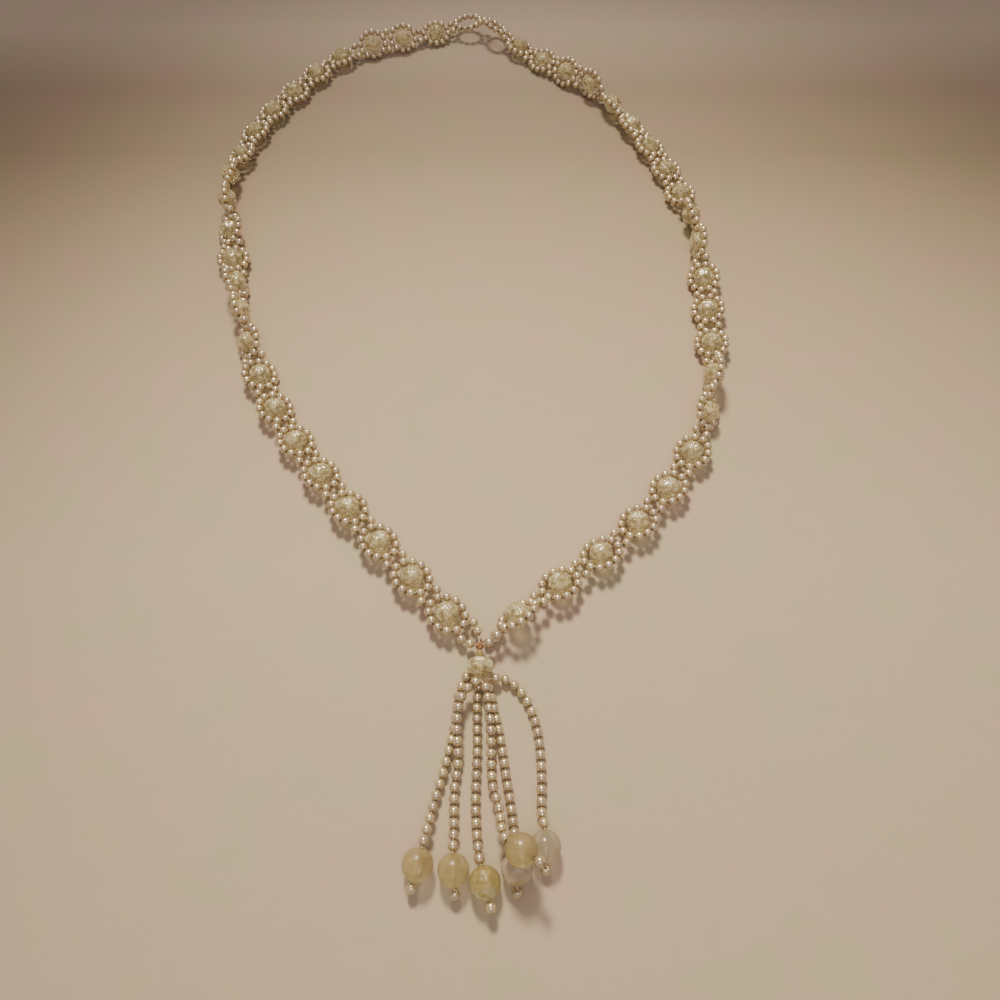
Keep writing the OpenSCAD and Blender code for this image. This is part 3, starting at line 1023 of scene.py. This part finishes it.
@dataclass
class Band:
    """One half of the woven band: its pearls, thread and crystals."""

    workshop: Workshop
    layout: BandLayout
    label: str
    first: int
    last: int
    smallest_pearl: float = 0.97
    thread_radius: float = 0.2

    def rings(self) -> range:
        """Returns the numbers of this half's rings."""
        return range(self.first, self.last + 1)

    def arms(self) -> list[list[Vector]]:
        """Returns the pearls of this half's arms, each after the ring pearl it leads from."""
        layout, daisy = self.layout, self.layout.daisy
        return [[layout.in_ring(ring, end * daisy.end_x, edge * daisy.end_y),
                 *(Vector(row) for row in rows)]
                for half, ring, end, edge, rows in ARMS if half == self.label]

    def links(self) -> list[tuple[Vector, Vector, Vector]]:
        """Returns this half's links, each as its two end pearls and the pearl between."""
        return [self.layout.link(k, s)
                for k in self.rings() if k < self.layout.rings for s in (-1, 1)]

    def build(self) -> None:
        """Makes the half's pieces."""
        shop, layout, label = self.workshop, self.layout, self.label
        seats: list[Seat] = []
        lines: list[tuple[Sequence[Vector], bool]] = []
        for k in self.rings():
            ring = layout.ring(k)
            seats += seats_on(ring, True, layout.face(k))
            lines.append((ring, True))
        for a, middle, b in self.links():
            seats.append(Seat(middle, (b - a).normalized(), UP))
            lines.append(((a, middle, b), False))
        for arm in self.arms():
            seats += seats_on([*arm, KNOT_AT], False, UP)[1:-1]
            lines.append(((*arm, KNOT_AT), False))
        pearls = shop.strung(f"pearls_{label}", seats, shop.pearl, shop.pearl_finish, True,
                             self.smallest_pearl)
        settled(pearls, "pearls", f"band_{label}_outer", f"band_{label}_inner")
        thread = shop.threaded(f"band_thread_{label}", lines, shop.thread_finish,
                               self.thread_radius)
        settled(thread, "thread")
        stones = [Seat(layout.centre(k), layout.along(k), layout.face(k))
                  for k in self.rings() if layout.has_crystal(k)]
        crystals = shop.strung(f"cut_crystals_{label}", stones, shop.crystal,
                               shop.crystal_finish, False)
        settled(crystals, "crystals", f"crystals_{label}")
        dress_node(f"threads_{label}", shop.thread_finish)


def dress_node(node: str, finish: Material) -> None:
    """Gives a CAD node a better material.

    Args:
        node: The node's name.
        finish: The material.
    """
    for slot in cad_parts[node].material_slots:
        slot.link = "OBJECT"
        slot.material = finish
    LOG.info("%s: dressed", node)


# Columns by strand: the drop bead's glass, its material slot.
DROPS = {
    "a": (Glass.OCHRE, "drops_ochre"), "b": (Glass.OCHRE, "drops_ochre"),
    "c": (Glass.CRACKLE, "drops_yellow"), "d": (Glass.TOFFEE, "drops_ochre"),
    "e": (Glass.SMOKE, "drops_smoke"), "f": (Glass.GREY, "drops_grey"),
}


@dataclass
class Tassel:
    """The knot, the head bead, and the strands with their drop beads."""

    workshop: Workshop
    smallest_pearl: float = 0.98
    thread_radius: float = 0.25
    stem_radius: float = 0.5
    head_length: float = 5.4
    head_width: float = 7.8
    head_bore: float = 1.7
    knot_radius: float = 0.6
    knot_swing: float = 0.34
    knot_rise: float = 1.8
    knot_steps: int = 72
    knot_thread: float = 0.44
    whip_radius: float = 0.95
    whip_start: float = 1.75
    whip_pitch: float = 0.34
    whip_turns: int = 4
    whip_steps: int = 14
    drop_sides: int = 40
    drop_rows: int = 20
    drop_bore: float = 1.1
    # The side away from the window lamp, where the drops carry painted glow.
    glow_side: Vector = field(default_factory=lambda: Vector((-0.1, -0.9, -0.4)))
    # Columns: how far a point faces that side, share of the painted glow.
    glow_rows: tuple[Row, ...] = ((-0.25, 0), (0.2, 0.35), (0.7, 1))

    def build(self) -> None:
        """Makes the tassel's pieces."""
        strands = [StrandLayout(letter, *row) for letter, row in STRANDS.items()]
        for strand in strands:
            self.strand(strand)
            self.drop(strand)
        self.threads(strands)
        self.head()
        self.knot()
        self.whipping()

    def strand(self, strand: StrandLayout) -> None:
        """Makes a strand's pearls.

        Args:
            strand: The strand's layout.
        """
        line = [FAN_AT, *strand.places, strand.entry]
        seats = seats_on(line, False, UP)[1:-1]
        end_way = (strand.end_at - strand.exit).normalized()
        seats.append(Seat(strand.end_at, end_way, strand.axis))
        shop = self.workshop
        pearls = shop.strung(f"pearls_strand_{strand.letter}", seats, shop.pearl,
                             shop.pearl_finish, True, self.smallest_pearl)
        settled(pearls, "pearls", f"strand_{strand.letter}")

    def drop(self, strand: StrandLayout) -> None:
        """Makes a drop bead.

        Args:
            strand: The layout of the strand that it ends.
        """
        shape = pearl_bead(strand.drop, self.drop_bore, self.drop_sides, self.drop_rows)
        prototype = shown("drop_prototype", shape.mesh())
        seat = Seat(strand.drop_at, strand.axis, UP)
        glass, slot = DROPS[strand.letter]
        drop = self.workshop.strung(f"glass_drop_{strand.letter}", [seat], prototype,
                                    self.finish(glass.value), True)
        bpy.data.objects.remove(prototype)
        # Painted glow: each vertex gets a share by how far it faces away from the lamp.
        glow = drop.data.attributes.new(Attribute.GLOW.value, "FLOAT", "POINT")
        for vertex, entry in zip(drop.data.vertices, glow.data):
            out = (vertex.co / MM - strand.drop_at) / (strand.drop / 2)
            entry.value = looked_up(out.dot(self.glow_side), self.glow_rows)
        settled(drop, slot, f"drop_{strand.letter}")

    @staticmethod
    def finish(glass: GlassFinish) -> Material:
        """Returns a drop bead's material, made once for each glass."""
        return bpy.data.materials.get(glass.name) or glass.material()

    def threads(self, strands: Sequence[StrandLayout]) -> None:
        """Makes the strands' threads and the stem through the head bead.

        Args:
            strands: The layouts of the strands.
        """
        shop = self.workshop
        lines = [([FAN_AT, *s.places, s.entry, s.exit, s.end_at], False) for s in strands]
        threads = shop.threaded("tassel_cords", lines, shop.thread_finish, self.thread_radius)
        settled(threads, "thread", "tassel_threads")
        stem = shop.threaded("tassel_stem", [([KNOT_AT, FAN_AT], False)], shop.thread_finish,
                             self.stem_radius)
        settled(stem, "thread")

    def head(self) -> None:
        """Makes the cut bead at the head of the tassel."""
        axis = (HEAD_AT - KNOT_AT).normalized()
        shape = cut_bead("head", self.head_length, self.head_width, self.head_bore)
        prototype = shown("head_prototype", shape.mesh())
        head = self.workshop.strung("cut_head_bead", [Seat(HEAD_AT, axis, UP)],
                                    prototype, Glass.HEAD.value.material(), False)
        bpy.data.objects.remove(prototype)
        settled(head, "crystals", "head_bead")

    def knot(self) -> None:
        """Makes the knot as a trefoil of thread that fills its ball."""
        line = []
        for i in range(self.knot_steps):
            angle = tau * i / self.knot_steps
            ring = self.knot_radius + self.knot_swing * cos(3 * angle)
            line.append(KNOT_AT + Vector((
                ring * cos(2 * angle), ring * sin(2 * angle),
                self.knot_rise * self.knot_swing * sin(3 * angle))))
        knot = self.workshop.threaded("knotted_thread", [(line, True)],
                                      self.workshop.knot_finish, self.knot_thread)
        settled(knot, "knot_thread", "knot")

    def whipping(self) -> None:
        """Winds thread round the stem between the knot and the head bead."""
        axis = (HEAD_AT - KNOT_AT).normalized()
        across = axis.cross(UP).normalized()
        over = axis.cross(across)
        line = []
        for i in range(self.whip_turns * self.whip_steps + 1):
            angle = tau * i / self.whip_steps
            out = (across * cos(angle) + over * sin(angle)) * self.whip_radius
            along = axis * (self.whip_start + self.whip_pitch * angle / tau)
            line.append(KNOT_AT + along + out)
        whipping = self.workshop.threaded("whipped_thread", [(line, False)],
                                          self.workshop.whip_finish, self.thread_radius)
        settled(whipping, "knot_thread")


@dataclass(frozen=True)
class Lamp:
    """A round lamp. Lengths are in metres, the power in watts, the cone in degrees."""

    name: str
    at: tuple[float, float, float]
    aim: tuple[float, float, float]
    size: float
    power: float
    color: Color
    # A lamp with a cone fades out towards its edge; 0 is a plain disc.
    cone: float = 0.0

    def hang(self) -> None:
        """Adds the lamp to the scene."""
        if self.cone:
            data = bpy.data.lights.new(self.name, "SPOT")
            data.spot_size = radians(self.cone)
            data.spot_blend = 1.0
            data.shadow_soft_size = self.size / 2
        else:
            data = bpy.data.lights.new(self.name, "AREA")
            data.shape = "DISK"
            data.size = self.size
        data.energy = self.power
        data.color = self.color
        lamp = bpy.data.objects.new(self.name, data)
        lamp.location = self.at
        way = Vector(self.aim) - Vector(self.at)
        lamp.rotation_euler = way.to_track_quat("-Z", "Y").to_euler()
        bpy.context.scene.collection.objects.link(lamp)


@dataclass
class Stage:
    """The table, the lamps, the dim room and the camera."""

    table_half: float = 1.2
    lamps: tuple[Lamp, ...] = (
        Lamp("window", (-0.08, 0.50, 0.76), (0.055, -0.125, 0.0), 0.18, 66.0,
             (1.0, 0.90, 0.70), cone=42.0),
        Lamp("ceiling", (0.05, -0.45, 0.85), (0.0, -0.15, 0.0), 0.60, 2.0, (1.0, 0.88, 0.80)),
    )
    room: Color = (1.0, 0.87, 0.88)
    room_strength: float = 0.44
    camera_at: Vector = field(default_factory=lambda: Vector((0.0185, -0.1975, 0.2263)))
    camera_tilt: float = radians(28.17)
    sensor: float = 36.0
    focal_share: float = 0.75
    nearest: float = 0.01

    def build(self) -> None:
        """Sets the stage."""
        self.table()
        for lamp in self.lamps:
            lamp.hang()
        world = bpy.data.worlds.new("dim_room")
        world.use_nodes = True
        back = world.node_tree.nodes["Background"]
        back.inputs["Color"].default_value = (*self.room, 1.0)
        back.inputs["Strength"].default_value = self.room_strength
        bpy.context.scene.world = world
        self.camera()

    def table(self) -> None:
        """Lays the table top."""
        h = self.table_half / MM
        corners = [Vector((x, y, 0)) for x, y in ((-h, -h), (h, -h), (h, h), (-h, h))]
        top = shown("table_top", mesh_of("table_top", corners, (), [(0, 1, 2, 3)]))
        top.data.materials.append(TableFinish().material())

    def camera(self) -> None:
        """Adds the camera at the photograph's place."""
        data = bpy.data.cameras.new("camera")
        data.sensor_width = self.sensor
        data.lens = self.sensor * self.focal_share
        data.clip_start = self.nearest
        camera = bpy.data.objects.new("camera", data)
        camera.location = self.camera_at
        camera.rotation_euler = (self.camera_tilt, 0.0, 0.0)
        bpy.context.scene.collection.objects.link(camera)
        bpy.context.scene.camera = camera


def main() -> None:
    """Builds the necklace, then its stage."""
    logging.basicConfig(level=logging.INFO, format="%(name)s %(message)s")
    workshop = Workshop()
    layout = BandLayout()
    for half in HALVES:
        Band(workshop, layout, *half).build()
    dress_node("closing_thread", workshop.thread_finish)
    Tassel(workshop).build()
    workshop.clear()
    Stage().build()


if __name__ == "__main__":
    main()
